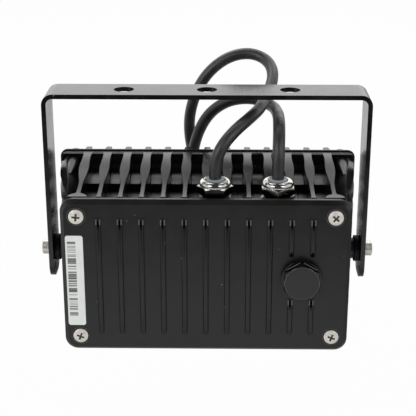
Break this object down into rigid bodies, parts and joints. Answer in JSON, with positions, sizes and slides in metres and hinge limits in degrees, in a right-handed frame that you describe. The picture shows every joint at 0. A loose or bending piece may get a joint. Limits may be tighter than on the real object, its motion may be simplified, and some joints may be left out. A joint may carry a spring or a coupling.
{
  "type": "led floodlight",
  "caption": "LED floodlight with a finned die-cast body, ribbed rear driver cover, cable glands with bare-ended leads, breather plug and a tilting yoke.",
  "frame": {"origin": "centre of the middle hole in the yoke's cross-piece, on its outer mounting face", "axes": "+Z out of the mounting face, +X along the yoke, +Y the way the light shines at rest"},
  "size_m": [0.187, 0.1051, 0.1831],
  "materials": {
    "casting_powder_coat": "satin",
    "cover_powder_coat": "satin",
    "yoke_powder_coat": "satin",
    "stainless_steel": "satin",
    "spacer_nylon": "matte",
    "breather_nylon": "satin",
    "gland_plating": "gloss",
    "gland_seal_rubber": "matte",
    "black_rubber": "matte",
    "lead_sheath": "satin",
    "core_insulation": "satin",
    "label_film": "satin",
    "front_glass": "gloss",
    "reflector_white": "satin",
    "board_white": "satin",
    "led_phosphor": "satin",
    "pad_grey": "matte",
    "wire_red": "satin",
    "wire_black": "satin",
    "board_green": "satin",
    "winding_tape": "satin",
    "capacitor_sleeve": "satin",
    "choke_winding": "satin",
    "transistor_case": "matte",
    "fuse_glass": "gloss",
    "terminal_block": "satin"
  },
  "bodies": {
    "bracket": {"bracket": "yoke_powder_coat"},
    "lamp": {"control_cores_inside": "core_insulation", "control_gland_body": "gland_plating", "control_gland_locknut": "gland_plating", "control_gland_nut": "gland_plating", "control_gland_seal": "gland_seal_rubber", "control_gland_washer": "black_rubber", "control_lead": "lead_sheath", "control_lead_cores": "core_insulation", "control_lead_inside": "lead_sheath", "cover_gasket": "black_rubber", "cover_label": "label_film", "cover_screws": "stainless_steel", "driver_board": "board_green", "driver_board_screws": "stainless_steel", "driver_capacitors": "capacitor_sleeve", "driver_choke": "choke_winding", "driver_cover": "cover_powder_coat", "driver_fuse": "fuse_glass", "driver_terminals": "terminal_block", "driver_transformer": "winding_tape", "driver_transistors": "transistor_case", "earth_screw": "stainless_steel", "front_frame": "casting_powder_coat", "front_frame_screws": "stainless_steel", "front_glass": "front_glass", "glass_gasket": "black_rubber", "heatsink_housing": "casting_powder_coat", "led_board": "board_white", "led_board_screws": "stainless_steel", "led_chips": "led_phosphor", "led_wire_negative": "wire_black", "led_wire_positive": "wire_red", "pivot_screws": "stainless_steel", "pivot_spacers": "spacer_nylon", "reflector": "reflector_white", "supply_cores_inside": "core_insulation", "supply_gland_body": "gland_plating", "supply_gland_locknut": "gland_plating", "supply_gland_nut": "gland_plating", "supply_gland_seal": "gland_seal_rubber", "supply_gland_washer": "black_rubber", "supply_lead": "lead_sheath", "supply_lead_cores": "core_insulation", "supply_lead_inside": "lead_sheath", "thermal_pad": "pad_grey", "vent_plug": "breather_nylon", "vent_plug_nut": "breather_nylon", "vent_plug_seal": "black_rubber", "wire_grommet": "black_rubber"}
  },
  "joints": [
    {"name": "tilt", "type": "hinge", "parent": "bracket", "child": "lamp", "pos_m": [0, 0, -0.092], "axis": [1, 0, 0], "range_deg": [-180, 0]}
  ]
}
